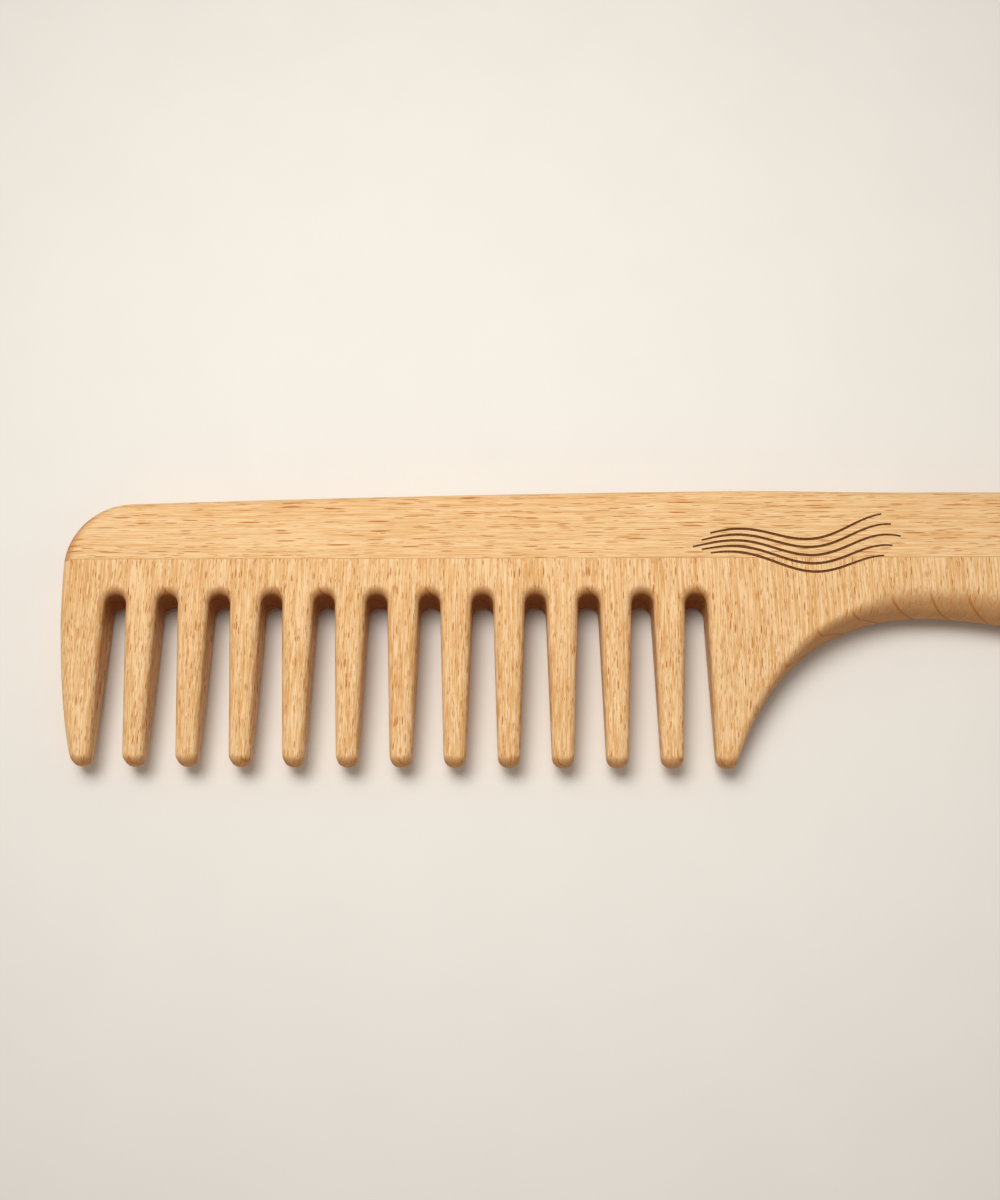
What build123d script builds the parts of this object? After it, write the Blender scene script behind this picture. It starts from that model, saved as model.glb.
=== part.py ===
"""Wide tooth comb of solid beech: a back rail and a toothed board, joined by a
hidden tongue and groove and a film of glue.

Millimetres. +X runs from the head towards the end of the handle, +Y from the
tooth tips towards the back edge, and +Z is up. The comb lies on its rear face.
The origin is the middle of the comb's outer box, on that rear face.
"""

from build123d import *
import math
import os

os.makedirs("parts", exist_ok=True)

# Overall sizes
overall_length = 207.4
thickness = 9.5

# Heights across the comb, from the tooth tips to the back edge
tooth_length = 29.3
root_to_seam = 6.1
rail_height = 13.35

# Teeth and the slots between them
tooth_count = 13
tooth_pitch = 9.0
first_tooth_inset = 5.4
tooth_root_width = 5.4
tooth_tip_width = 3.6
tooth_tip_thickness = 4.1
end_tooth_tip_outset = 1.4
taper_below_neck = 2.3
taper_blend_radius = 30.0

# Back edge: how far its crest stands from the handle's end, and how far the
# edge falls away from the crest at each end
crest_to_handle_end = 59.0
back_fall_at_head = 2.5
back_fall_at_handle = 1.1

# Neck and grip: distances from the last tooth, and drops below the slot roots
neck_reach = 34.0
neck_drop = 2.9
fullest_reach = 62.0
fullest_drop = 5.8
handle_end_drop = 4.8

# Roundings: each edge is rounded as far as leaves the stated flat between two of them
head_corner_radius = 11.6
handle_corner_radius = 10.5
tooth_tip_flat = 0.7
tooth_end_flat = 1.2
grip_side_flat = 1.1
grip_blend_length = 14.0

# Joint between the rail and the board: a tongue that stops short of both ends
glue_film = 0.12
tongue_thickness = 3.2
tongue_height = 4.0
tongue_stop = 9.0

# Places worked out from the sizes
left_x = -overall_length / 2
right_x = overall_length / 2
overall_height = tooth_length + root_to_seam + rail_height
tip_y = -overall_height / 2
back_y = overall_height / 2
root_y = tip_y + tooth_length
seam_y = root_y + root_to_seam
neck_y = root_y - neck_drop
taper_y = neck_y - taper_below_neck
fullest_y = root_y - fullest_drop
first_tooth_x = left_x + first_tooth_inset
last_tooth_x = first_tooth_x + (tooth_count - 1) * tooth_pitch
neck_x = last_tooth_x + neck_reach
fullest_x = last_tooth_x + fullest_reach
crest_x = right_x - crest_to_handle_end
head_end_x = neck_x - grip_blend_length / 2
grip_start_x = neck_x + grip_blend_length / 2
mid_z = thickness / 2
tip_width_and_thickness = (tooth_tip_width, tooth_tip_thickness)
head_rounding = (min(tip_width_and_thickness) - tooth_tip_flat) / 2
tip_rounding = (min(tip_width_and_thickness) - tooth_end_flat) / 2
grip_rounding = (thickness - grip_side_flat) / 2

# Silhouette: left side and first tooth, tips, neck, grip, handle end, back edge
side_top = (left_x, seam_y)
first_tip = (first_tooth_x - end_tooth_tip_outset, tip_y)
last_tip = (last_tooth_x + end_tooth_tip_outset, tip_y)
side_straightness = 0.38 * tooth_length
tip_sweep = 0.32 * tooth_length
heel_sweep = 0.92 * tooth_length
swell_ease = 0.4 * (fullest_x - neck_x)
with BuildSketch() as silhouette:
    with BuildLine():
        Bezier(
            side_top,
            (left_x, seam_y - side_straightness),
            (first_tip[0] - 0.3 * tip_sweep, tip_y + tip_sweep),
            first_tip,
        )
        Line(first_tip, last_tip)
        Bezier(
            last_tip,
            (last_tip[0] + 0.355 * heel_sweep, tip_y + heel_sweep),
            (neck_x - 0.2 * neck_reach, neck_y),
            (neck_x, neck_y),
        )
        Bezier(
            (neck_x, neck_y),
            (neck_x + swell_ease, neck_y),
            (fullest_x - swell_ease, fullest_y),
            (fullest_x, fullest_y),
        )
        TangentArc((fullest_x, fullest_y), (right_x, root_y - handle_end_drop), tangent=(1, 0))
        Line((right_x, root_y - handle_end_drop), (right_x, back_y - back_fall_at_handle))
        TangentArc((crest_x, back_y), (right_x, back_y - back_fall_at_handle), tangent=(1, 0))
        TangentArc((crest_x, back_y), (left_x, back_y - back_fall_at_head), tangent=(-1, 0))
        Line((left_x, back_y - back_fall_at_head), side_top)
    make_face()

# One slot, with its root at the origin: a round root with straight sides that
# leave it tangentially and open out towards the tips
slot_root_radius = (tooth_pitch - tooth_root_width) / 2
slot_mouth_half = (tooth_pitch - tooth_tip_width) / 2
side_depth = tooth_length - slot_root_radius
side_angle = math.acos(slot_root_radius / math.hypot(slot_mouth_half, side_depth))
side_angle -= math.atan2(side_depth, slot_mouth_half)
side_start_x = slot_root_radius * math.cos(side_angle)
side_start_y = slot_root_radius * (math.sin(side_angle) - 1)
with BuildSketch() as slot:
    with BuildLine():
        ThreePointArc((-side_start_x, side_start_y), (0, 0), (side_start_x, side_start_y))
        Polyline(
            (side_start_x, side_start_y),
            (slot_mouth_half, -tooth_length),
            (-slot_mouth_half, -tooth_length),
            (-side_start_x, side_start_y),
        )
    make_face()

# The blank, sawn to the silhouette at full thickness
with BuildPart() as blank:
    with BuildSketch():
        add(silhouette.sketch)
        for gap in range(tooth_count - 1):
            with Locations((first_tooth_x + (gap + 0.5) * tooth_pitch, root_y)):
                add(slot.sketch, mode=Mode.SUBTRACT)
    extrude(amount=thickness)
    head_corner = edges().filter_by(Axis.Z).sort_by_distance((left_x, back_y))[0]
    fillet(head_corner, head_corner_radius)
    handle_corners = edges().filter_by(Axis.Z).filter_by(lambda e: e.center().X > right_x - 0.01)
    fillet(handle_corners, handle_corner_radius)

# Side profile of the head: both faces taper towards the tips
taper_rise = (thickness - tooth_tip_thickness) / 2
with BuildPart() as side_profile:
    with BuildSketch(Plane.YZ.offset(left_x)) as section:
        with BuildLine():
            Polyline(
                (back_y, 0),
                (taper_y, 0),
                (tip_y, taper_rise),
                (tip_y, thickness - taper_rise),
                (taper_y, thickness),
                (back_y, thickness),
                close=True,
            )
        make_face()
        fillet(section.vertices().filter_by(lambda v: abs(v.X - taper_y) < 0.01), taper_blend_radius)
    extrude(amount=head_end_x - left_x)


def rim_edges(part, cut_x):
    """Edges round the two broad faces, without those at the tips and in the plane at cut_x."""
    uprights = part.edges().filter_by(Axis.Z)
    taper_lines = part.edges().filter_by(Axis.X)
    at_cut = part.edges().filter_by(lambda e: abs(e.center().X - cut_x) < 0.01)
    return part.edges() - uprights - taper_lines - at_cut


# Head and teeth: the long edges are rounded first, then the ends of the teeth
with BuildPart() as head:
    add(blank.part)
    split(bisect_by=Plane.YZ.offset(head_end_x), keep=Keep.BOTTOM)
    add(side_profile.part, mode=Mode.INTERSECT)
    fillet(rim_edges(head.part, head_end_x), head_rounding)
    tooth_ends = faces().filter_by(lambda f: abs(f.center().Y - tip_y) < 0.01)
    fillet(tooth_ends.edges(), tip_rounding)

with BuildPart() as grip:
    add(blank.part)
    split(bisect_by=Plane.YZ.offset(grip_start_x), keep=Keep.TOP)
    fillet(rim_edges(grip.part, grip_start_x), grip_rounding)

# Neck: the head's small rounding grows into the grip's full one
neck_top = back_y - back_fall_at_handle * ((neck_x - crest_x) / crest_to_handle_end) ** 2
with BuildPart() as neck:
    with BuildSketch(Plane.YZ.offset(neck_x)) as neck_section:
        with Locations(((neck_top + neck_y) / 2, mid_z)):
            RectangleRounded(neck_top - neck_y, thickness, (head_rounding + grip_rounding) / 2)
    head_face = head.faces().sort_by(Axis.X)[-1]
    grip_face = grip.faces().sort_by(Axis.X)[0]
    loft(sections=[head_face, neck_section.sketch, grip_face], ruled=True)

# The comb's whole outer form, before it is parted along the joint
with BuildPart() as whole:
    add(head.part)
    add(neck.part)
    add(grip.part)

# Where the tongue runs, and the depth of wood that each side of the joint gives up
tongue_start_x = left_x + tongue_stop
tongue_end_x = right_x - tongue_stop
tongue_middle_x = (tongue_start_x + tongue_end_x) / 2
tongue_length = tongue_end_x - tongue_start_x
board_top_y = seam_y - glue_film / 2
rail_foot_y = seam_y + glue_film / 2
tongue_top_y = board_top_y + tongue_height


def joint_block(length, height, width):
    """A block standing on the board's top edge, centred on the tongue."""
    with BuildPart() as block:
        with BuildSketch(Plane.XZ.offset(-board_top_y)):
            with Locations((tongue_middle_x, mid_z)):
                Rectangle(length, width)
        extrude(amount=-height)
    return block.part


tongue = joint_block(tongue_length, tongue_height, tongue_thickness)
groove = joint_block(
    tongue_length + 2 * glue_film,
    tongue_height + glue_film,
    tongue_thickness + 2 * glue_film,
)

with BuildPart() as back_rail:
    add(whole.part)
    split(bisect_by=Plane.XZ.offset(-rail_foot_y), keep=Keep.BOTTOM)
    add(groove, mode=Mode.SUBTRACT)
back_rail.part.label = "back_rail"
export_step(back_rail.part, "parts/back_rail.step")

with BuildPart() as tooth_board:
    add(whole.part)
    split(bisect_by=Plane.XZ.offset(-board_top_y), keep=Keep.TOP)
    add(tongue)
tooth_board.part.label = "tooth_board"
export_step(tooth_board.part, "parts/tooth_board.step")

with BuildPart() as glue_line:
    add(whole.part)
    split(bisect_by=Plane.XZ.offset(-rail_foot_y), keep=Keep.TOP)
    split(bisect_by=Plane.XZ.offset(-board_top_y), keep=Keep.BOTTOM)
    add(groove)
    add(tongue, mode=Mode.SUBTRACT)
glue_line.part.label = "glue_line"
export_step(glue_line.part, "parts/glue_line.step")

for piece in (whole, back_rail, tooth_board, glue_line):
    part = piece.part
    box = part.bounding_box()
    print(part.label or "whole", len(part.solids()), round(part.volume, 1), part.is_valid, box.min, box.max)
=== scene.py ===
"""Looks of the wide tooth comb: two pieces of beech with sanded, rounded edges, the glue line
between them and a small burnt ornament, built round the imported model."""

import math

import bmesh
import bpy
from mathutils import Matrix, Vector
from mathutils.geometry import interpolate_bezier


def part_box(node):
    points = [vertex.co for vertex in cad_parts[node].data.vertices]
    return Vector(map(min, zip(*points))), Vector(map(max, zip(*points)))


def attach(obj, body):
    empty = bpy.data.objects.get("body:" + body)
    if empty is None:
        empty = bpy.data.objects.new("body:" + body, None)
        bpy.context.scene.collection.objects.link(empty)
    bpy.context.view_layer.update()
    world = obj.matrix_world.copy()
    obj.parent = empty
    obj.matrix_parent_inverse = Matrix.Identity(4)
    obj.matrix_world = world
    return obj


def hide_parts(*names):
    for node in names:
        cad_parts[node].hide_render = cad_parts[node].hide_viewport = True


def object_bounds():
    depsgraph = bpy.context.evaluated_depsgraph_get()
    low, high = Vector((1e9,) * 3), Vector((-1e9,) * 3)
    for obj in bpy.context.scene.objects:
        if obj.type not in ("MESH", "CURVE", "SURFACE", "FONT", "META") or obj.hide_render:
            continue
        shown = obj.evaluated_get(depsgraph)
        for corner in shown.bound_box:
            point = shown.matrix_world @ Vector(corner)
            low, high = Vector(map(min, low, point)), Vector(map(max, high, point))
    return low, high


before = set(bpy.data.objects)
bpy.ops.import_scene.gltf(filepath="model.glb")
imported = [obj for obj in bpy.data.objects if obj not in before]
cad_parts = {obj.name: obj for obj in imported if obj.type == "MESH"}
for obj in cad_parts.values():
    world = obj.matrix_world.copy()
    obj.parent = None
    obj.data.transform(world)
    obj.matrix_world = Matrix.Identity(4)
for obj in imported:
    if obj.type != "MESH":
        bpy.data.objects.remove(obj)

bl_info = {
    "name": "Wide Tooth Comb",
    "version": (1, 0, 0),
    "blender": (4, 5, 0),
    "location": "View3D > Sidebar > Comb",
    "description": "Builds a beech handle comb from its frame",
    "category": "Add Mesh",
}

MM = 0.001
TINY = 0.000001

cad_low, cad_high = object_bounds()
rail_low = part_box("back_rail")[0]
THICKNESS = cad_high.z - cad_low.z
MID_Z = (cad_low.z + cad_high.z) / 2
LEFT_X, RIGHT_X = cad_low.x, cad_high.x
TIP_Y, BACK_Y = cad_low.y, cad_high.y
SEAM_FILM = 0.12 * MM
SEAM_Y = rail_low.y - SEAM_FILM / 2

# Reach of the outline's curve handles, as shares of the lengths they belong to
SIDE_STRAIGHT, SIDE_SWEEP, SIDE_LEAN = 0.38, 0.32, 0.3
HEEL_SWEEP, HEEL_LEAN, NECK_EASE = 0.92, 0.355, 0.2
SWELL_EASE = 0.4

# Points along each stretch of the outline
SIDE_POINTS, HEEL_POINTS, SWELL_POINTS = 80, 110, 50
GRIP_POINTS, HANDLE_BACK_POINTS, HEAD_BACK_POINTS = 40, 60, 110
SLOT_POINTS, CORNER_POINTS, TIP_POINTS, STRAND_POINTS = 31, 40, 14, 61

# Cuts across the teeth where the thinning sets in, and below that
EASE_CUTS, TAPER_CUTS = 8, 10

# Beech: a millimetre of depth counts as less than one of width, which keeps the fibres long on
# the thinned teeth
PATTERN_PER_METRE = (1000.0, 1000.0, 450.0)

# Surface: depth of the fibres' relief, shine, and how sharp an edge must be to show
RELIEF_DEPTH = 0.04 * MM
WOOD_SHINE, PLAIN_SHINE = 0.07, 0.1
SHARP_EDGE, SHARP_CUT = math.radians(35), math.radians(30)


def length(name, description, default):
    """A size in metres, given in millimetres."""
    return bpy.props.FloatProperty(
        name=name, description=description, default=default * MM, unit="LENGTH", precision=4
    )


def colour(name, description, default):
    """A surface colour."""
    return bpy.props.FloatVectorProperty(
        name=name, description=description, default=default, subtype="COLOR", size=3, min=0.0, max=1.0
    )


def location(name, description, default):
    """A spot in metres, given in millimetres."""
    return bpy.props.FloatVectorProperty(
        name=name, description=description, default=tuple(MM * value for value in default),
        size=3, unit="LENGTH", precision=4,
    )


class CombSizes(bpy.types.PropertyGroup):
    """Sizes of the comb's outline and of its rounded edges."""

    tooth_count: bpy.props.IntProperty(name="Teeth", description="Number of teeth", default=13, min=3)
    tooth_pitch: length("Tooth pitch", "Distance between the centre lines of two teeth", 9.0)
    first_tooth_inset: length("First tooth inset", "From the head's end to the first tooth's middle", 5.4)
    tooth_length: length("Tooth length", "From the root of a slot to the tips", 29.3)
    root_width: length("Root width", "Width of a tooth where its slots begin", 5.4)
    tip_width: length("Tip width", "Width of a tooth at its end", 3.6)
    outer_tip: length("Outer tip", "From an end tooth's middle to its tip's outer corner", 1.4)
    tip_thickness: length("Tip thickness", "Thickness of a tooth at its end", 4.1)
    tip_corner: length("Tip corner", "Radius of a tooth's end, seen from the front", 1.72)
    taper_below_root: length("Taper start", "Depth below the roots where the teeth begin to thin", 5.2)
    taper_ease: length("Taper ease", "Half the length over which the thinning sets in", 1.7)
    crest_to_handle: length("Crest to handle end", "From the back's crest to the handle's end", 59.0)
    fall_at_head: length("Fall at the head", "How far the back edge falls at the head", 2.5)
    fall_at_handle: length("Fall at the handle", "How far the back edge falls at the handle's end", 1.1)
    neck_reach: length("Neck reach", "From the last tooth's middle to the neck", 34.0)
    neck_drop: length("Neck drop", "From the slot roots down to the neck's lower edge", 2.9)
    fullest_reach: length("Grip reach", "From the last tooth's middle to the fullest grip", 62.0)
    fullest_drop: length("Grip drop", "From the slot roots down to the grip's lower edge", 5.8)
    end_drop: length("End drop", "From the slot roots down to the handle end's lower corner", 4.8)
    head_corner: length("Head corner", "Radius of the head's corner", 11.6)
    handle_corner: length("Handle corners", "Radius of the handle end's corners", 10.5)
    slot_rounding: length("Slot rounding", "Radius of the edges along the slots", 1.6)
    tip_rounding: length("Tip rounding", "Radius of the edges round a tooth's end", 1.3)
    head_rounding: length("Head rounding", "Radius of the head's outer edges", 2.8)
    heel_rounding: length("Heel rounding", "Radius of the edges half way up the last tooth", 1.7)
    grip_rounding: length("Grip rounding", "Radius of the edges round the neck and grip", 4.4)
    rounding_steps: bpy.props.IntProperty(
        name="Rounding steps", description="Faces across each rounded edge", default=9, min=3, max=24
    )
    tongue_thickness: length("Tongue thickness", "Thickness of the tongue that joins the pieces", 3.2)
    tongue_height: length("Tongue height", "Height of the tongue that joins the pieces", 4.0)
    tongue_stop: length("Tongue stop", "How far short of each end the tongue stops", 9.0)
    strand_count: bpy.props.IntProperty(name="Strands", description="Wavy lines in the ornament", default=5)
    strand_reach: length("Strand reach", "Length of the ornament's longest line", 35.0)
    strand_step: length("Strand step", "How much shorter each outer line is", 3.0)
    strand_gap: length("Strand gap", "Distance between the lines where they are widest apart", 2.0)
    strand_swing: length("Strand swing", "How far the lines wave to each side", 2.2)
    strand_rod: length("Strand rod", "Radius of the burning tip that draws the lines", 0.27)
    strand_lift: length("Strand lift", "How far the burning tip's middle stays above the face", 0.10)
    strand_waves: bpy.props.FloatProperty(
        name="Strand waves", description="Waves along the ornament's longest line", default=1.35
    )
    ornament_inset: length("Ornament inset", "From the head's end to the ornament", 108.6)
    ornament_rise: length("Ornament rise", "From the seam up to the ornament's middle line", 2.0)


class CombColours(bpy.types.PropertyGroup):
    """Colours of the wood, the glue, the burnt ornament and the painted shade in the slots."""

    pale: colour("Pale wood", "Wood between the growth rings", (0.80, 0.510, 0.245))
    ring: colour("Ring", "Dense wood at the growth rings", (0.64, 0.318, 0.098))
    ray: colour("Ray", "The small dark flecks", (0.45, 0.140, 0.020))
    silk: colour("Silk", "Light streaks along the fibres", (0.89, 0.635, 0.360))
    end: colour("End grain", "Wood cut across the fibres", (0.46, 0.212, 0.080))
    glue: colour("Glue", "The thin glue line", (0.62, 0.33, 0.12))
    burn: colour("Burn", "The burnt ornament", (0.185, 0.062, 0.014))
    # Painted shade: darkens the slot walls near their roots, where shade falls deep in the slots
    slot_shade: colour("Slot shade", "Painted shade on the slot walls near their roots", (0.66, 0.48, 0.33))


class CombStage(bpy.types.PropertyGroup):
    """The floor, the lights and the camera."""

    floor_size: bpy.props.FloatProperty(
        name="Floor size", description="Side of the floor", default=3.0, unit="LENGTH"
    )
    floor_colour: colour("Floor", "Colour of the floor", (0.785, 0.745, 0.685))
    key_power: bpy.props.FloatProperty(
        name="Key light", description="Power of the main soft light", default=0.40, unit="POWER"
    )
    key_colour: colour("Key colour", "Colour of the main soft light", (1.0, 0.99, 0.97))
    key_place: location("Key place", "Where the main soft light stands", (-140.0, 140.0, 550.0))
    key_target: location("Key target", "The spot that the main soft light is aimed at", (-35.0, 45.0, 0.0))
    key_size: length("Key size", "Diameter of the main soft light", 400.0)
    key_spread: bpy.props.FloatProperty(
        name="Key spread", description="Angle over which the main light spreads",
        default=math.radians(52), unit="ROTATION",
    )
    room: bpy.props.FloatProperty(
        name="Room light", description="Strength of the even light of the room", default=0.36
    )
    room_colour: colour("Room colour", "Colour of the even light of the room", (1.0, 0.985, 0.96))
    camera_place: location(
        "Camera place", "Camera, from the head's end, the tips and the floor", (80.26, -80.97, 302.27)
    )
    camera_turn: bpy.props.FloatVectorProperty(
        name="Camera turn", description="Turns of the camera: the last is made first",
        default=(math.radians(20.38), math.radians(3.25), math.radians(-0.08)), size=3, unit="ROTATION",
    )
    camera_lens: bpy.props.FloatProperty(
        name="Camera lens", description="Focal length in millimetres", default=55.37
    )
    camera_shift: bpy.props.FloatProperty(
        name="Camera shift", description="Sideways shift of the picture", default=0.0658, precision=4
    )


# Outline: a closed line seen from the front. Each point holds x, y and the edge's rounding there


def blend_value(a, b, t):
    """Value from a to b that starts and ends gently as t goes from 0 to 1."""
    t = min(max(t, 0.0), 1.0)
    return a + (b - a) * t * t * (3 - 2 * t)


def bend(start, handle_a, handle_b, end, count, rounding):
    """Points of one Bezier stretch; rounding gives the edge's radius at a point."""
    knots = [Vector((x, y, 0.0)) for x, y in (start, handle_a, handle_b, end)]
    points = interpolate_bezier(*knots, count)
    return [Vector((p.x, p.y, rounding(p))) for p in points]


def bowed(start, end, level_at_start, count, rounding):
    """Points of a shallow curve that is level at one end and falls or rises to the other."""
    points = []
    for i in range(count):
        t = i / (count - 1)
        lift = t * t if level_at_start else 1 - (1 - t) * (1 - t)
        p = Vector((start[0] + (end[0] - start[0]) * t, start[1] + (end[1] - start[1]) * lift, 0.0))
        points.append(Vector((p.x, p.y, rounding(p))))
    return points


def soften(path, corner, radius, count):
    """The closed path with one of its corners turned into an arc."""
    spot = Vector(corner)
    k = min(range(len(path)), key=lambda i: (path[i].xy - spot).length)
    rounding = path[k].z
    before = (path[k - 1].xy - spot).normalized()
    after = (path[(k + 1) % len(path)].xy - spot).normalized()
    half = before.angle(after) / 2
    reach = radius / math.tan(half)
    centre = spot + (before + after).normalized() * radius / math.sin(half)
    first, last = spot + before * reach - centre, spot + after * reach - centre
    turn = math.atan2(first.cross(last), first.dot(last))
    start = math.atan2(first.y, first.x)
    arc = []
    for i in range(count):
        angle = start + turn * i / (count - 1)
        x, y = centre.x + radius * math.cos(angle), centre.y + radius * math.sin(angle)
        arc.append(Vector((x, y, rounding)))
    head = [p for p in path[:k] if (p.xy - spot).length > reach]
    tail = [p for p in path[k + 1:] if (p.xy - spot).length > reach]
    return head + arc + tail


def slot_line(sizes, middle_x):
    """One slot from its left mouth round its root to its right mouth."""
    root_y = TIP_Y + sizes.tooth_length
    radius = (sizes.tooth_pitch - sizes.root_width) / 2
    mouth = (sizes.tooth_pitch - sizes.tip_width) / 2
    depth = sizes.tooth_length - radius
    lean = math.acos(radius / math.hypot(mouth, depth)) - math.atan2(depth, mouth)
    arc = []
    for i in range(SLOT_POINTS):
        angle = math.pi - lean - (math.pi - 2 * lean) * i / (SLOT_POINTS - 1)
        x = middle_x + radius * math.cos(angle)
        y = root_y - radius + radius * math.sin(angle)
        arc.append(Vector((x, y, sizes.slot_rounding)))
    left = Vector((middle_x - mouth, TIP_Y, sizes.tip_rounding))
    right = Vector((middle_x + mouth, TIP_Y, sizes.tip_rounding))
    return [left, *arc, right]


def end_teeth(sizes):
    """Where the middles of the first and of the last tooth stand."""
    first_x = LEFT_X + sizes.first_tooth_inset
    return first_x, first_x + (sizes.tooth_count - 1) * sizes.tooth_pitch


def outline(sizes):
    """The comb's whole outline, anticlockwise, from the top of its left side."""
    tall = sizes.tooth_length
    root_y = TIP_Y + tall
    neck_y, full_y = root_y - sizes.neck_drop, root_y - sizes.fullest_drop
    first_x, last_x = end_teeth(sizes)
    neck_x, full_x = last_x + sizes.neck_reach, last_x + sizes.fullest_reach
    crest_x = RIGHT_X - sizes.crest_to_handle
    first_tip = (first_x - sizes.outer_tip, TIP_Y)
    last_tip = (last_x + sizes.outer_tip, TIP_Y)
    side_sweep, heel_sweep = SIDE_SWEEP * tall, HEEL_SWEEP * tall
    swell = SWELL_EASE * (full_x - neck_x)

    def side_rounding(p):
        return blend_value(sizes.tip_rounding, sizes.head_rounding, (p.y - TIP_Y) / (0.8 * tall))

    def heel_rounding(p):
        along = (p.x - last_tip[0]) / (neck_x - last_tip[0])
        if along < 0.5:
            return blend_value(sizes.tip_rounding, sizes.heel_rounding, along / 0.5)
        return blend_value(sizes.heel_rounding, sizes.grip_rounding, (along - 0.5) / 0.5)

    def grip_rounding(p):
        return sizes.grip_rounding

    def back_rounding(p):
        return blend_value(sizes.head_rounding, sizes.grip_rounding, (p.x - last_x) / (neck_x - last_x))

    path = bend(
        (LEFT_X, SEAM_Y),
        (LEFT_X, SEAM_Y - SIDE_STRAIGHT * tall),
        (first_tip[0] - SIDE_LEAN * side_sweep, TIP_Y + side_sweep),
        first_tip, SIDE_POINTS, side_rounding,
    )
    for gap in range(sizes.tooth_count - 1):
        path += slot_line(sizes, first_x + (gap + 0.5) * sizes.tooth_pitch)
    path += bend(
        last_tip,
        (last_tip[0] + HEEL_LEAN * heel_sweep, TIP_Y + heel_sweep),
        (neck_x - NECK_EASE * sizes.neck_reach, neck_y),
        (neck_x, neck_y), HEEL_POINTS, heel_rounding,
    )
    path += bend(
        (neck_x, neck_y), (neck_x + swell, neck_y), (full_x - swell, full_y), (full_x, full_y),
        SWELL_POINTS, grip_rounding,
    )[1:]
    low_corner = (RIGHT_X, root_y - sizes.end_drop)
    top_corner = (RIGHT_X, BACK_Y - sizes.fall_at_handle)
    head_corner = (LEFT_X, BACK_Y - sizes.fall_at_head)
    path += bowed((full_x, full_y), low_corner, True, GRIP_POINTS, grip_rounding)[1:]
    path += bowed(top_corner, (crest_x, BACK_Y), False, HANDLE_BACK_POINTS, back_rounding)
    path += bowed((crest_x, BACK_Y), head_corner, True, HEAD_BACK_POINTS, back_rounding)[1:]
    path = soften(path, low_corner, sizes.handle_corner, CORNER_POINTS)
    path = soften(path, top_corner, sizes.handle_corner, CORNER_POINTS)
    path = soften(path, head_corner, sizes.head_corner, CORNER_POINTS)
    path = soften(path, first_tip, sizes.tip_corner, TIP_POINTS)
    path = soften(path, last_tip, sizes.tip_corner, TIP_POINTS)
    for gap in range(sizes.tooth_count - 1):
        middle = first_x + (gap + 0.5) * sizes.tooth_pitch
        mouth = (sizes.tooth_pitch - sizes.tip_width) / 2
        path = soften(path, (middle - mouth, TIP_Y), sizes.tip_corner, TIP_POINTS)
        path = soften(path, (middle + mouth, TIP_Y), sizes.tip_corner, TIP_POINTS)
    return path


def inward(path):
    """For each point of the closed outline, the direction that leads into the wood."""
    directions = []
    for i, point in enumerate(path):
        before = (point.xy - path[i - 1].xy).normalized()
        after = (path[(i + 1) % len(path)].xy - point.xy).normalized()
        along = (before + after).normalized()
        directions.append(Vector((-along.y, along.x)))
    return directions


# Work in edit mode, as at the bench


def let_go():
    """Deselects everything."""
    if bpy.context.object and bpy.context.object.mode != "OBJECT":
        bpy.ops.object.mode_set(mode="OBJECT")
    bpy.ops.object.select_all(action="DESELECT")


def hold(piece):
    """Makes one piece the selected and active one."""
    let_go()
    piece.select_set(True)
    bpy.context.view_layer.objects.active = piece


def apply_modifier(piece, kind, **settings):
    """Adds a modifier with these settings and applies it."""
    hold(piece)
    bpy.ops.object.modifier_add(type=kind)
    modifier = piece.modifiers[-1]
    for name, value in settings.items():
        setattr(modifier, name, value)
    bpy.ops.object.modifier_apply(modifier=modifier.name)


def saw(piece, height, keep=None):
    """Cuts a piece across at one height; keep is "above", "below" or None for both."""
    hold(piece)
    bpy.ops.object.mode_set(mode="EDIT")
    bpy.ops.mesh.select_all(action="SELECT")
    bpy.ops.mesh.bisect(
        plane_co=(0, height, 0),
        plane_no=(0, 1, 0),
        use_fill=keep is not None,
        clear_inner=keep == "above",
        clear_outer=keep == "below",
        threshold=TINY / 10,
    )
    bpy.ops.object.mode_set(mode="OBJECT")


def close_up(piece):
    """Merges points that lie together, turns the faces outwards and smooths their shading."""
    hold(piece)
    bpy.ops.object.mode_set(mode="EDIT")
    bpy.ops.mesh.select_all(action="SELECT")
    bpy.ops.mesh.remove_doubles(threshold=TINY)
    bpy.ops.mesh.normals_make_consistent(inside=False)
    bpy.ops.object.mode_set(mode="OBJECT")
    bpy.ops.object.shade_smooth_by_angle(angle=SHARP_EDGE)


def round_ring(blank, path, directions, inset, height):
    """Extrudes the selected ring and puts it at its inset and height for each point."""
    bpy.ops.mesh.extrude_region_move()
    sheet = bmesh.from_edit_mesh(blank.data)
    number = sheet.verts.layers.int["outline_number"]
    for vert in sheet.verts:
        if vert.select:
            i = vert[number]
            spot = path[i].xy + directions[i] * inset(path[i].z)
            vert.co = (spot.x, spot.y, height(path[i].z))
    bmesh.update_edit_mesh(blank.data)


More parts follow.
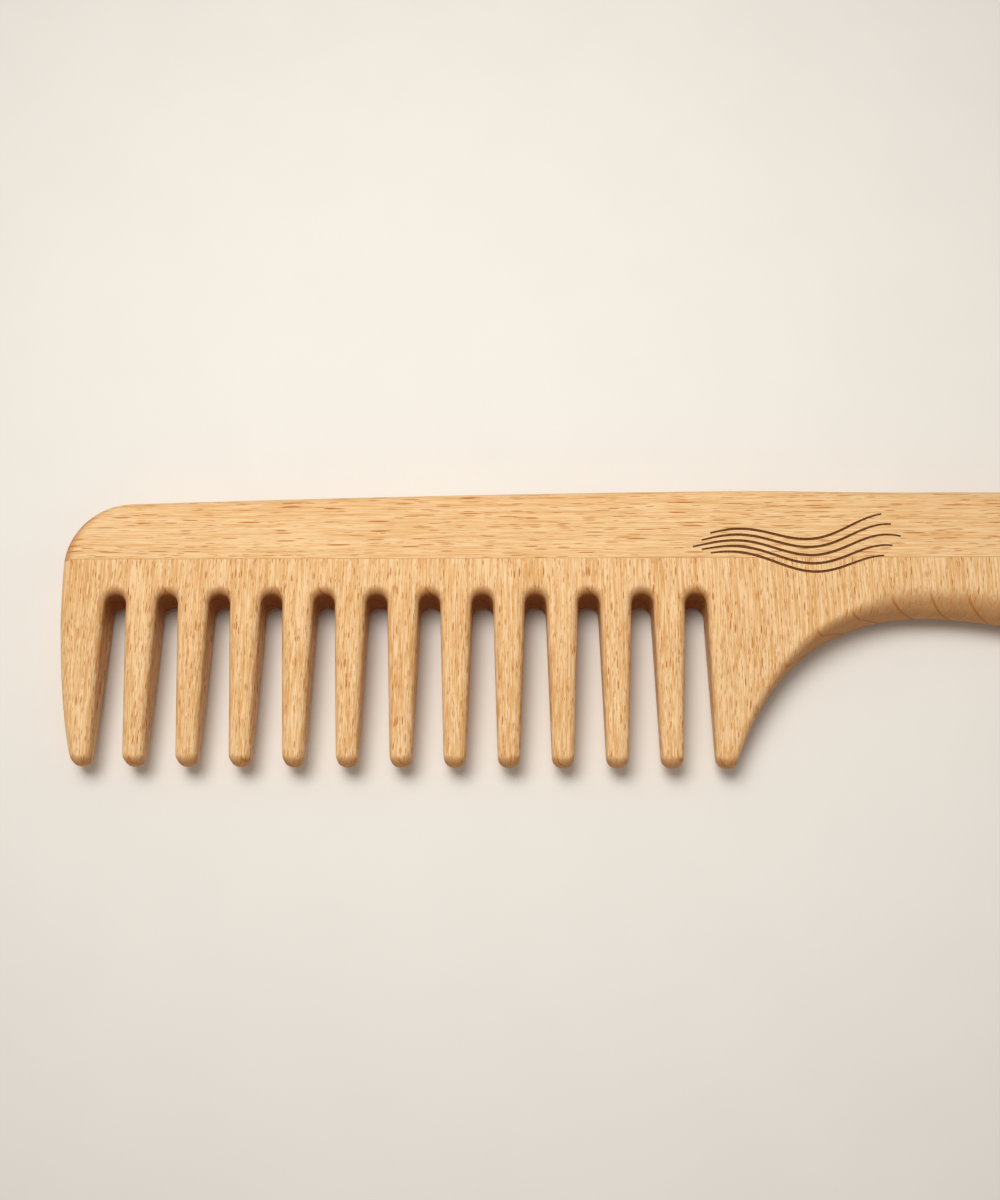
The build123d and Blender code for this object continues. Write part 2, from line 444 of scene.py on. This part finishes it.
def blank_of_wood(sizes):
    """The comb in one piece: outline, rounded edges and thinned teeth."""
    path = outline(sizes)
    directions = inward(path)
    half = THICKNESS / 2
    let_go()
    bpy.ops.mesh.primitive_circle_add(vertices=len(path), radius=half, location=(0, 0, MID_Z))
    blank = bpy.context.object
    blank.name = "comb_blank"
    number = blank.data.attributes.new("outline_number", "INT", "POINT")
    number.data.foreach_set("value", range(len(path)))
    for vert, point in zip(blank.data.vertices, path):
        vert.co = (point.x, point.y, 0)
    bpy.ops.object.mode_set(mode="EDIT")
    bpy.ops.mesh.select_mode(type="EDGE")
    bpy.ops.mesh.select_all(action="SELECT")
    for step in range(sizes.rounding_steps + 1):
        angle = math.pi / 2 * step / sizes.rounding_steps
        round_ring(
            blank, path, directions,
            lambda r: r * (1 - math.cos(angle)),
            lambda r: half - r + r * math.sin(angle),
        )
    flat_rim = 0.05 * MM
    round_ring(blank, path, directions, lambda r: r + flat_rim, lambda r: half)
    bpy.ops.mesh.edge_face_add()
    bpy.ops.object.mode_set(mode="OBJECT")
    blank.data.attributes.remove(blank.data.attributes["outline_number"])
    thin_teeth(blank, sizes)
    apply_modifier(
        blank, "MIRROR", use_axis=(False, False, True), use_mirror_merge=True, merge_threshold=TINY
    )
    bpy.ops.object.transform_apply(location=True)
    close_up(blank)
    return blank


def thin_teeth(blank, sizes):
    """Thins the upper half of the teeth towards their tips; the thinning sets in gently."""
    start = TIP_Y + sizes.tooth_length - sizes.taper_below_root
    ease = sizes.taper_ease
    slope = (THICKNESS - sizes.tip_thickness) / 2 / (start - TIP_Y)
    levels = [start + ease - 2 * ease * i / EASE_CUTS for i in range(EASE_CUTS + 1)]
    levels += [start - ease - (start - ease - TIP_Y) * i / TAPER_CUTS for i in range(1, TAPER_CUTS)]
    for level in levels:
        saw(blank, level)
    past_heel = end_teeth(sizes)[1] + 0.7 * sizes.neck_reach
    for vert in blank.data.vertices:
        below = start - vert.co.y
        if vert.co.x > past_heel or vert.co.z < TINY or below < -ease:
            continue
        eased = (below + ease) ** 2 / (4 * ease)
        vert.co.z -= slope * (eased if below < ease else below)


def copy_of(piece, name):
    """A copy of a piece with its own mesh."""
    hold(piece)
    bpy.ops.object.duplicate()
    twin = bpy.context.object
    twin.name = name
    twin.data.name = name
    return twin


def joint_block(sizes, low_y, high_y, gap, name):
    """A block along the joint, between two heights, as wide and long as the tongue plus a gap."""
    let_go()
    low_x, high_x = LEFT_X + sizes.tongue_stop - gap, RIGHT_X - sizes.tongue_stop + gap
    bpy.ops.mesh.primitive_cube_add(size=1, location=((low_x + high_x) / 2, (low_y + high_y) / 2, MID_Z))
    block = bpy.context.object
    block.name = name
    block.scale = (high_x - low_x, high_y - low_y, sizes.tongue_thickness + 2 * gap)
    bpy.ops.object.transform_apply(location=True, scale=True)
    return block


def fit(piece, block, operation):
    """Joins or cuts a piece with a block and puts the block away."""
    apply_modifier(piece, "BOOLEAN", operation=operation, solver="EXACT", object=block)
    bpy.data.objects.remove(block)


def strand_line(sizes, strand):
    """Middle line of one strand of the ornament; the strands wave together and draw apart."""
    across = strand - (sizes.strand_count - 1) / 2
    start = abs(across) * sizes.strand_step / 2
    bundle = Vector(
        (LEFT_X + sizes.ornament_inset, SEAM_Y + sizes.ornament_rise, cad_high.z + sizes.strand_lift)
    )
    closed = 0.4
    line = []
    for i in range(STRAND_POINTS):
        along = start + (sizes.strand_reach - 2 * start) * i / (STRAND_POINTS - 1)
        t = along / sizes.strand_reach
        opening = closed + (1 - closed) * t
        wave = sizes.strand_swing * math.sin(2 * math.pi * sizes.strand_waves * t)
        line.append(bundle + Vector((along, opening * (across * sizes.strand_gap + wave), 0)))
    return line


def strand_cutters(sizes, material):
    """The burning tip's paths: thin rods that lie half sunk along the strands."""
    let_go()
    bpy.ops.curve.primitive_bezier_curve_add()
    rods = bpy.context.object
    rods.name = "ornament_cutters"
    rods.data.splines.clear()
    thinnest, swelling, fading = 0.72, 2.2, 1.2
    for strand in range(sizes.strand_count):
        line = strand_line(sizes, strand)
        spline = rods.data.splines.new("POLY")
        spline.points.add(len(line) - 1)
        for i, (point, place) in enumerate(zip(spline.points, line)):
            point.co = (*place, 1)
            t = i / (len(line) - 1)
            fullness = math.sin(math.pi * min(t * swelling, 0.5, (1 - t) * fading))
            point.radius = thinnest + (1 - thinnest) * fullness
    rods.data.bevel_depth = sizes.strand_rod
    rods.data.bevel_resolution = 3
    rods.data.use_fill_caps = True
    bpy.ops.object.convert(target="MESH")
    rods.data.materials.append(material)
    close_up(rods)
    return rods


def engrave(piece, sizes, colours):
    """Burns the ornament's strands into a piece's front face."""
    burnt = bpy.data.materials.get("burnt_wood")
    if burnt is None:
        dark = [0.65 * c for c in colours.burn]
        burnt = plain_material("burnt_wood", dark, colours.burn, scale=2500.0, roughness=0.7)
    rods = strand_cutters(sizes, burnt)
    apply_modifier(
        piece, "BOOLEAN", operation="DIFFERENCE", solver="EXACT", object=rods, material_mode="TRANSFER"
    )
    bpy.data.objects.remove(rods)
    if not piece.data.polygons:
        raise RuntimeError("The ornament's cut left nothing of " + piece.name)
    hold(piece)
    bpy.ops.object.shade_smooth_by_angle(angle=SHARP_CUT)


def settle(piece, node, material):
    """Gives a finished piece its material, its ornament and its body, and hides the part it stands for."""
    piece.data.materials.clear()
    piece.data.materials.append(material)
    engrave(piece, bpy.context.scene.comb_sizes, bpy.context.scene.comb_colours)
    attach(piece, "root")
    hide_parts(node)


# Materials


def put(tree, kind, inputs=None, **settings):
    """Adds a shader node; an input is a value or another node's output."""
    node = tree.nodes.new("ShaderNode" + kind)
    for name, value in settings.items():
        setattr(node, name, value)
    for key, value in (inputs or {}).items():
        if isinstance(value, bpy.types.NodeSocket):
            tree.links.new(value, node.inputs[key])
        else:
            node.inputs[key].default_value = value
    return node


def calc(tree, operation, *values, clamp=False):
    """Output of a Math node; a value is a number or another node's output."""
    inputs = dict(enumerate(values))
    return put(tree, "Math", inputs, operation=operation, use_clamp=clamp).outputs[0]


def stretch(tree, vector, scale, shift=(0, 0, 0)):
    """A vector scaled and shifted along each axis."""
    return put(tree, "Mapping", {"Vector": vector, "Scale": scale, "Location": shift}).outputs[0]


def noise(tree, vector, scale, detail=2.0, shift=(0, 0, 0)):
    """Grey noise from 0 to 1 in stretched coordinates."""
    place = stretch(tree, vector, scale, shift)
    return put(tree, "TexNoise", {"Vector": place, "Scale": 1.0, "Detail": detail}).outputs["Fac"]


def between(tree, value, low, high):
    """Value going smoothly from 0 at low to 1 at high."""
    inputs = {"Value": value, "From Min": low, "From Max": high}
    return put(tree, "MapRange", inputs, interpolation_type="SMOOTHSTEP").outputs[0]


def tint(tree, factor, base, over, blend="MIX"):
    """Mixes a colour over another one."""
    node = put(tree, "Mix", data_type="RGBA", blend_type=blend)
    for key, value in ((0, factor), (6, base), (7, over)):
        if isinstance(value, bpy.types.NodeSocket):
            tree.links.new(value, node.inputs[key])
        elif key:
            node.inputs[key].default_value = (*value, 1)
        else:
            node.inputs[key].default_value = value
    return node.outputs[2]


def new_group(name, inputs, outputs):
    """An empty shader group with its sockets; returns it with its input and output nodes."""
    group = bpy.data.node_groups.new(name, "ShaderNodeTree")
    for socket, kind, value in inputs:
        made = group.interface.new_socket(socket, in_out="INPUT", socket_type=kind)
        if value is not None:
            made.default_value = value
    for socket, kind in outputs:
        group.interface.new_socket(socket, in_out="OUTPUT", socket_type=kind)
    return group, group.nodes.new("NodeGroupInput").outputs, group.nodes.new("NodeGroupOutput").inputs


NUMBER, VECTOR, TINT = "NodeSocketFloat", "NodeSocketVector", "NodeSocketColor"


def flecks(tree, place, cell, share, shift):
    """Spindle-shaped spots, one to a cell; share is how much of its cell a spot fills."""
    cells = put(tree, "VectorMath", {0: place, 1: cell}, operation="DIVIDE").outputs[0]
    cells = put(tree, "VectorMath", {0: cells, 1: shift}, operation="ADD").outputs[0]
    spots = put(tree, "TexVoronoi", {"Vector": cells, "Scale": 1.0, "Randomness": 1.0}, feature="F1")
    own = put(tree, "SeparateColor", {"Color": spots.outputs["Color"]}).outputs
    reach = calc(tree, "MULTIPLY_ADD", own[0], 0.8 * share, 0.55 * share)
    edge = calc(tree, "DIVIDE", spots.outputs["Distance"], reach)
    body = between(tree, edge, 1.0, 0.65)
    depth = calc(tree, "MULTIPLY_ADD", own[1], 0.5, 0.5)
    return calc(tree, "MULTIPLY", body, depth)


def beech_group():
    """Solid beech: place is about millimetres, x along the fibres and z along the rays."""
    group, given, out = new_group(
        "beech",
        [
            ("Place", VECTOR, None), ("End", NUMBER, 0.0), ("Side", NUMBER, 0.0), ("Across", NUMBER, 1.0),
            ("Ring width", NUMBER, 5.0), ("Ring strength", NUMBER, 0.5),
            ("Ray cell", VECTOR, None), ("Small ray cell", VECTOR, None),
            ("Ray strength", NUMBER, 0.8), ("Small ray strength", NUMBER, 0.4),
            ("Streak strength", NUMBER, 0.6),
            ("Pale", TINT, None), ("Ring", TINT, None), ("Ray", TINT, None),
            ("Silk", TINT, None), ("End grain", TINT, None),
            ("Slot shade", TINT, None), ("Slot shade amount", NUMBER, 0.0),
        ],
        [("Colour", TINT), ("Height", NUMBER), ("Roughness", NUMBER)],
    )
    place = given["Place"]
    # A slow drift keeps the fibres from being ruler-straight
    slow = stretch(group, place, (0.018, 0.05, 0.05))
    drift = put(group, "TexNoise", {"Vector": slow, "Scale": 1.0, "Detail": 1.0}).outputs["Color"]
    centred = put(group, "VectorMath", {0: drift, 1: (0.5, 0.5, 0.5)}, operation="SUBTRACT").outputs[0]
    swing = put(group, "VectorMath", {0: centred, 1: (0.0, 0.9, 2.0)}, operation="MULTIPLY").outputs[0]
    place = put(group, "VectorMath", {0: place, 1: swing}, operation="ADD").outputs[0]

    axes = put(group, "SeparateXYZ", {"Vector": place}).outputs
    ring = calc(group, "FRACT", calc(group, "DIVIDE", axes[2], given["Ring width"]))
    late = calc(group, "POWER", ring, 3.0)
    line = between(group, ring, 0.93, 0.985)
    ring_mask = calc(group, "MULTIPLY_ADD", late, 0.55, calc(group, "MULTIPLY", line, 0.45))
    ring_mask = calc(group, "MULTIPLY", ring_mask, given["Ring strength"], clamp=True)

    cloud = noise(group, place, (0.03, 0.16, 0.16))
    streak = noise(group, place, (0.035, 2.2, 1.8), detail=1.0, shift=(5, 2, 9))
    thread = noise(group, place, (0.16, 6.4, 5.2), detail=1.0, shift=(2, 8, 6))
    fibre = noise(group, place, (0.55, 11.0, 11.0), detail=1.0, shift=(1, 7, 3))

    large = flecks(group, place, given["Ray cell"], share=0.25, shift=(0.3, 0.1, 0.7))
    small = flecks(group, place, given["Small ray cell"], share=0.27, shift=(3.1, 5.2, 1.9))
    large = calc(group, "MULTIPLY", large, given["Ray strength"])
    small = calc(group, "MULTIPLY", small, given["Small ray strength"])
    fleck = calc(group, "MAXIMUM", large, small, clamp=True)
    # Rays show as flecks where the surface cuts across them, and as faint lines in the end grain
    seen = calc(
        group, "MAXIMUM",
        between(group, given["Across"], 0.20, 0.55), calc(group, "MULTIPLY", given["End"], 0.45),
    )
    fleck = calc(group, "MULTIPLY", fleck, seen)

    def layer(base, source, low, high, share, over):
        """Lays one colour over the wood where the source lies beyond low, by a share of the streaks."""
        amount = calc(group, "MULTIPLY", between(group, source, low, high), share)
        return tint(group, calc(group, "MULTIPLY", amount, given["Streak strength"]), base, over)

    # Colour: the broad tone, rings, streaks and threads, then what shows in the end grain
    wood = layer(given["Pale"], cloud, 0.35, 0.70, 0.5, given["Ring"])
    wood = layer(wood, streak, 0.50, 0.30, 0.8, given["Ring"])
    wood = tint(group, ring_mask, wood, given["Ring"])
    wood = layer(wood, streak, 0.50, 0.68, 0.8, given["Silk"])
    wood = layer(wood, thread, 0.50, 0.62, 1.0, given["Silk"])
    wood = layer(wood, thread, 0.48, 0.36, 0.9, given["Ring"])
    wood = layer(wood, fibre, 0.52, 0.74, 0.5, given["Ray"])
    # Painted shade: surfaces turned away from the face, on the rounded edges and walls, are darkened
    wood = tint(group, calc(group, "MULTIPLY", given["Side"], 0.16), wood, given["Ring"], "MULTIPLY")
    wood = tint(group, calc(group, "MULTIPLY", given["End"], 0.60), wood, given["End grain"])
    pores = calc(group, "MULTIPLY", between(group, thread, 0.50, 0.62), given["End"])
    wood = tint(group, calc(group, "MULTIPLY", pores, 0.40), wood, given["Ray"])
    ring_line = calc(group, "MULTIPLY", between(group, ring, 0.90, 0.965), given["End"])
    wood = tint(group, calc(group, "MULTIPLY", ring_line, 0.75), wood, given["Ray"])
    wood = tint(group, fleck, wood, given["Ray"])
    # Painted shade: the slot walls are darkened near their roots, deep in the slots
    wood = tint(group, given["Slot shade amount"], wood, given["Slot shade"], "MULTIPLY")
    group.links.new(wood, out["Colour"])
    # Relief and gloss
    dips = calc(group, "MULTIPLY_ADD", fleck, -0.6, 1.0)
    height = calc(group, "MULTIPLY_ADD", fibre, 0.5, dips)
    group.links.new(height, out["Height"])
    gloss = calc(group, "MULTIPLY_ADD", fibre, 0.12, 0.44)
    group.links.new(calc(group, "MULTIPLY_ADD", given["End"], 0.15, gloss), out["Roughness"])
    return group


def fibre_axes(along, rays):
    """Rotation that lays x along the fibres and z along the rays."""
    along, rays = Vector(along).normalized(), Vector(rays).normalized()
    return Matrix((along, rays.cross(along), rays)).to_euler()


def slot_shade_mask(tree, spot, side, sizes):
    """Painted shade: 1 on the walls of the slots near their roots, fading out towards the tips."""
    first_x, last_x = end_teeth(sizes)
    axes = put(tree, "SeparateXYZ", {"Vector": spot}).outputs
    in_head = calc(
        tree, "MULTIPLY",
        calc(tree, "GREATER_THAN", axes[0], first_x), calc(tree, "LESS_THAN", axes[0], last_x),
    )
    root_y = TIP_Y + sizes.tooth_length
    shade_reach = 0.26 * sizes.tooth_length
    depth = between(tree, axes[1], root_y - shade_reach, root_y)
    wall = calc(tree, "POWER", side, 1.5)
    return calc(tree, "MULTIPLY", calc(tree, "MULTIPLY", wall, depth), in_head)


def wood_material(name, colours, along, rays, settings, sizes=None):
    """A piece of beech with its own fibre and ray directions."""
    material = bpy.data.materials.new(name)
    material.use_nodes = True
    tree = material.node_tree
    shader = tree.nodes["Principled BSDF"]
    spot = put(tree, "TexCoord").outputs["Object"]
    place = put(
        tree, "Mapping",
        {"Vector": spot, "Rotation": fibre_axes(along, rays), "Scale": PATTERN_PER_METRE},
    ).outputs[0]
    normal = put(tree, "NewGeometry").outputs["Normal"]

    def facing(direction):
        """How squarely the surface faces along a direction, either way."""
        lean = put(tree, "VectorMath", {0: normal, 1: direction}, operation="DOT_PRODUCT")
        return calc(tree, "ABSOLUTE", lean.outputs["Value"])

    end = between(tree, facing(along), 0.10, 0.75)
    across = facing(Vector(rays).normalized())
    # How far the surface turns sideways; it drives the painted shade on edges and walls, and keeps the
    # painted slot shade on the walls
    side = calc(tree, "SUBTRACT", 1.0, facing((0, 0, 1)), clamp=True)
    wood = tree.nodes.new("ShaderNodeGroup")
    wood.node_tree = bpy.data.node_groups.get("beech") or beech_group()
    for socket, value in (("Place", place), ("End", end), ("Side", side), ("Across", across)):
        tree.links.new(value, wood.inputs[socket])
    for socket, value in settings.items():
        wood.inputs[socket].default_value = value
    for socket, value in (
        ("Pale", colours.pale), ("Ring", colours.ring), ("Ray", colours.ray),
        ("Silk", colours.silk), ("End grain", colours.end), ("Slot shade", colours.slot_shade),
    ):
        wood.inputs[socket].default_value = (*value, 1)
    # Painted shade in the slots, only for the piece with the teeth
    if sizes:
        tree.links.new(slot_shade_mask(tree, spot, side, sizes), wood.inputs["Slot shade amount"])
    tree.links.new(wood.outputs["Colour"], shader.inputs["Base Color"])
    tree.links.new(wood.outputs["Roughness"], shader.inputs["Roughness"])
    relief = put(
        tree, "Bump", {"Height": wood.outputs["Height"], "Strength": 0.35, "Distance": RELIEF_DEPTH}
    ).outputs[0]
    tree.links.new(relief, shader.inputs["Normal"])
    shader.inputs["Specular IOR Level"].default_value = WOOD_SHINE
    return material


def plain_material(name, dark, light, scale, roughness):
    """A material with a fine mottled colour between two tones."""
    material = bpy.data.materials.new(name)
    material.use_nodes = True
    tree = material.node_tree
    shader = tree.nodes["Principled BSDF"]
    spot = put(tree, "TexCoord").outputs["Object"]
    speckle = put(tree, "TexNoise", {"Vector": spot, "Scale": scale, "Detail": 3.0}).outputs["Fac"]
    mottled = tint(tree, between(tree, speckle, 0.3, 0.7), dark, light)
    tree.links.new(mottled, shader.inputs["Base Color"])
    tree.links.new(calc(tree, "MULTIPLY_ADD", speckle, 0.1, roughness - 0.05), shader.inputs["Roughness"])
    shader.inputs["Specular IOR Level"].default_value = PLAIN_SHINE
    return material


def seam_material(colours):
    """Dried glue between the rail and the board."""
    dark = [0.8 * c for c in colours.glue]
    return plain_material("glue_brown", dark, colours.glue, scale=900.0, roughness=0.55)


# Operators


def blank_piece():
    """The wood blank that the rail, the board and the glue line are sawn from."""
    blank = bpy.data.objects.get("comb_blank")
    return blank or blank_of_wood(bpy.context.scene.comb_sizes)


class COMB_OT_back_rail(bpy.types.Operator):
    """Makes the rail along the comb's back"""

    bl_idname = "comb.back_rail"
    bl_label = "Back rail"

    def execute(self, context):
        sizes, colours = context.scene.comb_sizes, context.scene.comb_colours
        rail = copy_of(blank_piece(), "rail_wood")
        saw(rail, SEAM_Y + SEAM_FILM / 2, "above")
        top = SEAM_Y + SEAM_FILM / 2 + sizes.tongue_height
        fit(rail, joint_block(sizes, SEAM_Y - MM, top, SEAM_FILM, "groove"), "DIFFERENCE")
        close_up(rail)
        wood = wood_material(
            "beech_lengthwise", colours, (1, 0, 0), (0, -0.22, 1),
            {
                "Ring width": 4.3, "Ring strength": 0.25, "Streak strength": 0.50,
                "Ray cell": (7.6, 0.46, 14.0), "Ray strength": 1.0,
                "Small ray cell": (4.0, 0.36, 9.0), "Small ray strength": 0.80,
            },
        )
        settle(rail, "back_rail", wood)
        return {"FINISHED"}


class COMB_OT_tooth_board(bpy.types.Operator):
    """Makes the board with the teeth and the lower half of the handle"""

    bl_idname = "comb.tooth_board"
    bl_label = "Tooth board"

    def execute(self, context):
        sizes, colours = context.scene.comb_sizes, context.scene.comb_colours
        board = copy_of(blank_piece(), "board_wood")
        saw(board, SEAM_Y - SEAM_FILM / 2, "below")
        top = SEAM_Y - SEAM_FILM / 2 + sizes.tongue_height
        fit(board, joint_block(sizes, SEAM_Y - MM, top, 0.0, "tongue"), "UNION")
        close_up(board)
        tilt = math.radians(60)
        wood = wood_material(
            "beech_upright", colours, (0, 1, 0), (math.cos(tilt), 0, math.sin(tilt)),
            {
                "Ring width": 3.25, "Ring strength": 0.45, "Streak strength": 0.70,
                "Ray cell": (3.2, 0.36, 16.0), "Ray strength": 1.0,
                "Small ray cell": (2.2, 0.28, 12.0), "Small ray strength": 0.75,
            },
            sizes,
        )
        settle(board, "tooth_board", wood)
        return {"FINISHED"}


class COMB_OT_glue_line(bpy.types.Operator):
    """Makes the film of glue between the rail and the board, and puts the blank away"""

    bl_idname = "comb.glue_line"
    bl_label = "Glue line"

    def execute(self, context):
        sizes, colours = context.scene.comb_sizes, context.scene.comb_colours
        blank = blank_piece()
        film = copy_of(blank, "glue_film")
        bpy.data.objects.remove(blank)
        saw(film, SEAM_Y + SEAM_FILM / 2, "below")
        saw(film, SEAM_Y - SEAM_FILM / 2, "above")
        top = SEAM_Y + sizes.tongue_height
        lining = joint_block(sizes, SEAM_Y, top + SEAM_FILM / 2, SEAM_FILM, "lining")
        fit(film, lining, "UNION")
        fit(film, joint_block(sizes, SEAM_Y - MM, top - SEAM_FILM / 2, 0.0, "tongue"), "DIFFERENCE")
        close_up(film)
        settle(film, "glue_line", seam_material(colours))
        return {"FINISHED"}


class COMB_OT_stage(bpy.types.Operator):
    """Makes the floor, the lights and the camera"""

    bl_idname = "comb.stage"
    bl_label = "Stage"

    def execute(self, context):
        look = context.scene.comb_stage
        let_go()
        bpy.ops.mesh.primitive_plane_add(size=look.floor_size, location=(0, 0, cad_low.z))
        floor = context.object
        floor.name = "floor"
        pale = tuple(look.floor_colour)
        dark = [0.985 * c for c in pale]
        paint = plain_material("floor_paint", dark, pale, scale=60.0, roughness=0.6)
        floor.data.materials.append(paint)
        context.scene.view_settings.view_transform = "Standard"
        world = bpy.data.worlds.new("room")
        context.scene.world = world
        world.use_nodes = True
        background = world.node_tree.nodes["Background"]
        background.inputs["Color"].default_value = (*look.room_colour, 1)
        background.inputs["Strength"].default_value = look.room
        soft_light(look)
        place_camera(look)
        return {"FINISHED"}


def soft_light(look):
    """A round soft light above the head's back, aimed at the head; it fades towards the handle."""
    let_go()
    spot = Vector(look.key_place)
    aim = (Vector(look.key_target) - spot).to_track_quat("-Z", "Y").to_euler()
    bpy.ops.object.light_add(type="AREA", location=spot, rotation=aim)
    light = bpy.context.object
    light.name = "key_light"
    light.data.shape = "DISK"
    light.data.size = look.key_size
    light.data.spread = look.key_spread
    light.data.energy = look.key_power
    light.data.color = look.key_colour


def place_camera(look):
    """The camera stands over the comb, a little below it, and looks down at the head."""
    turn = Matrix.Identity(4)
    for angle, axis in zip(look.camera_turn, "XYZ"):
        turn = turn @ Matrix.Rotation(angle, 4, axis)
    bpy.ops.object.camera_add()
    camera = bpy.context.object
    camera.name = "camera"
    spot = Vector((LEFT_X, TIP_Y, 0)) + Vector(look.camera_place)
    camera.matrix_world = Matrix.Translation(spot) @ turn
    camera.data.lens = look.camera_lens
    camera.data.sensor_width = 36.0
    camera.data.shift_x = look.camera_shift
    camera.data.clip_start = 0.01
    bpy.context.scene.camera = camera


class COMB_PT_panel(bpy.types.Panel):
    """Buttons for the comb's pieces"""

    bl_label = "Wide Tooth Comb"
    bl_idname = "COMB_PT_panel"
    bl_space_type = "VIEW_3D"
    bl_region_type = "UI"
    bl_category = "Comb"

    def draw(self, context):
        for group in (context.scene.comb_sizes, context.scene.comb_colours, context.scene.comb_stage):
            for name in group.bl_rna.properties.keys():
                if name not in ("rna_type", "name"):
                    self.layout.prop(group, name)
        for operator in OPERATORS:
            self.layout.operator(operator.bl_idname)


GROUPS = (CombSizes, CombColours, CombStage)
OPERATORS = (COMB_OT_back_rail, COMB_OT_tooth_board, COMB_OT_glue_line, COMB_OT_stage)


def register():
    for item in (*GROUPS, *OPERATORS, COMB_PT_panel):
        bpy.utils.register_class(item)
    bpy.types.Scene.comb_sizes = bpy.props.PointerProperty(type=CombSizes)
    bpy.types.Scene.comb_colours = bpy.props.PointerProperty(type=CombColours)
    bpy.types.Scene.comb_stage = bpy.props.PointerProperty(type=CombStage)


def unregister():
    del bpy.types.Scene.comb_stage
    del bpy.types.Scene.comb_colours
    del bpy.types.Scene.comb_sizes
    for item in reversed((*GROUPS, *OPERATORS, COMB_PT_panel)):
        bpy.utils.unregister_class(item)


def main():
    register()
    bpy.ops.comb.back_rail()
    bpy.ops.comb.tooth_board()
    bpy.ops.comb.glue_line()
    bpy.ops.comb.stage()


if __name__ == "__main__":
    main()
